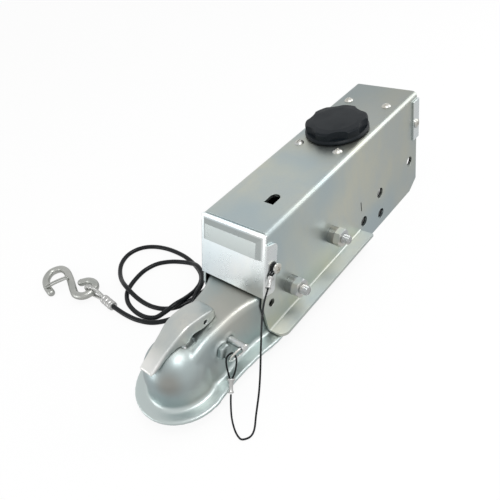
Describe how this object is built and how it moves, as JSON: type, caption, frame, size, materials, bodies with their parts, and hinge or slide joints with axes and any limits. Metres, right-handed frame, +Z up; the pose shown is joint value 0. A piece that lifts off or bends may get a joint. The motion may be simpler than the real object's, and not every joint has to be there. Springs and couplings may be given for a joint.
{
  "type": "surge brake actuator with ball coupler",
  "caption": "Hydraulic surge brake actuator for a trailer tongue, with a sliding ball coupler head, latch handle, filler cap and breakaway cable.",
  "frame": {"origin": "centre of the bounding box in X and Y, at the height of the case walls' lower edges", "axes": "+X forward to the nose, +Y to the object's left, +Z up; lengthwise axis X"},
  "size_m": [0.4726, 0.406, 0.1536],
  "materials": {
    "zinc_sheet": "satin zinc plate on folded and pressed steel",
    "bright_sheet": "bright zinc plate on thin sheet",
    "fastener_zinc": "bright zinc plate on fasteners",
    "cast_body": "as cast",
    "cast_handle": "cast, zinc plated, satin",
    "plain_steel": "zinc plated steel",
    "piston_brass": "turned",
    "black_plastic": "moulded black, satin",
    "black_rubber": "black rubber",
    "cable_coat": "black vinyl coat on wire rope",
    "crimp_metal": "crimped sleeve",
    "wire_rope": "bare wire rope"
  },
  "bodies": {
    "case": {"outer_case": "zinc_sheet", "front_cover": "bright_sheet", "rear_cover": "bright_sheet", "front_cover_screws": "fastener_zinc", "rear_cover_screws": "fastener_zinc", "top_screws": "fastener_zinc", "reservoir_body": "cast_body", "retaining_ring": "plain_steel", "front_axle": "fastener_zinc", "rear_axle": "fastener_zinc", "front_axle_nuts": "fastener_zinc", "rear_axle_nuts": "fastener_zinc", "axle_washers": "fastener_zinc", "breakaway_pivot": "fastener_zinc", "cable_grommet": "black_rubber", "cable_stop": "plain_steel", "breakaway_cable": "cable_coat", "crimp_sleeve": "crimp_metal", "rope_eye": "wire_rope", "s_hook": "plain_steel", "lanyard": "cable_coat", "lanyard_upper_eye": "wire_rope"},
    "cap": {"filler_cap": "black_plastic", "filler_seal": "black_rubber"},
    "front_roller": {"front_roller": "plain_steel"},
    "rear_roller": {"rear_roller": "plain_steel"},
    "coupler": {"coupler_head": "zinc_sheet", "slide_channel": "zinc_sheet", "rod_bracket": "plain_steel", "push_rod": "plain_steel", "master_piston": "piston_brass", "piston_cup": "black_rubber", "latch_bolt": "fastener_zinc", "latch_nut": "fastener_zinc", "clamp_spring": "plain_steel", "lever_pin": "plain_steel"},
    "clamp": {"ball_clamp": "zinc_sheet"},
    "handle": {"lever": "cast_handle"},
    "pin": {"safety_pin": "fastener_zinc", "pin_ring": "plain_steel", "lanyard_lower_eye": "wire_rope"},
    "breakaway_lever": {"breakaway_lever": "zinc_sheet"},
    "hook_gate": {"hook_gate": "plain_steel"}
  },
  "joints": [
    {"name": "surge_slide", "type": "slide", "parent": "case", "child": "coupler", "axis": [-1, 0, 0], "range_m": [0, 0.03]},
    {"name": "cap_turn", "type": "hinge", "parent": "case", "child": "cap", "pos_m": [-0.12115, 0, 0.14], "axis": [0, 0, 1], "continuous": true},
    {"name": "front_roller_turn", "type": "hinge", "parent": "case", "child": "front_roller", "pos_m": [0.05035, 0, 0.0585], "axis": [0, 1, 0], "continuous": true},
    {"name": "rear_roller_turn", "type": "hinge", "parent": "case", "child": "rear_roller", "pos_m": [-0.03015, 0, 0.0645], "axis": [0, 1, 0], "continuous": true},
    {"name": "handle_lift", "type": "hinge", "parent": "coupler", "child": "handle", "pos_m": [0.20895, 0, 0.0674], "axis": [0, 1, 0], "range_deg": [0, 60]},
    {"name": "clamp_swing", "type": "hinge", "parent": "coupler", "child": "clamp", "pos_m": [0.14935, 0, 0.048], "axis": [0, 1, 0], "range_deg": [0, 25]},
    {"name": "pin_pull", "type": "slide", "parent": "coupler", "child": "pin", "axis": [0, 1, 0], "range_m": [0, 0.025]},
    {"name": "breakaway_pull", "type": "hinge", "parent": "case", "child": "breakaway_lever", "pos_m": [-0.02215, 0, 0.1035], "axis": [0, 1, 0], "range_deg": [0, 10]},
    {"name": "gate_flex", "type": "hinge", "parent": "case", "child": "hook_gate", "pos_m": [0.1575, -0.2635, 0.0138], "axis": [0, 0, 1], "range_deg": [0, 15]}
  ],
  "couplings": [
    {"joint": "clamp_swing", "follows": "handle_lift", "ratio": 0.41667}
  ]
}
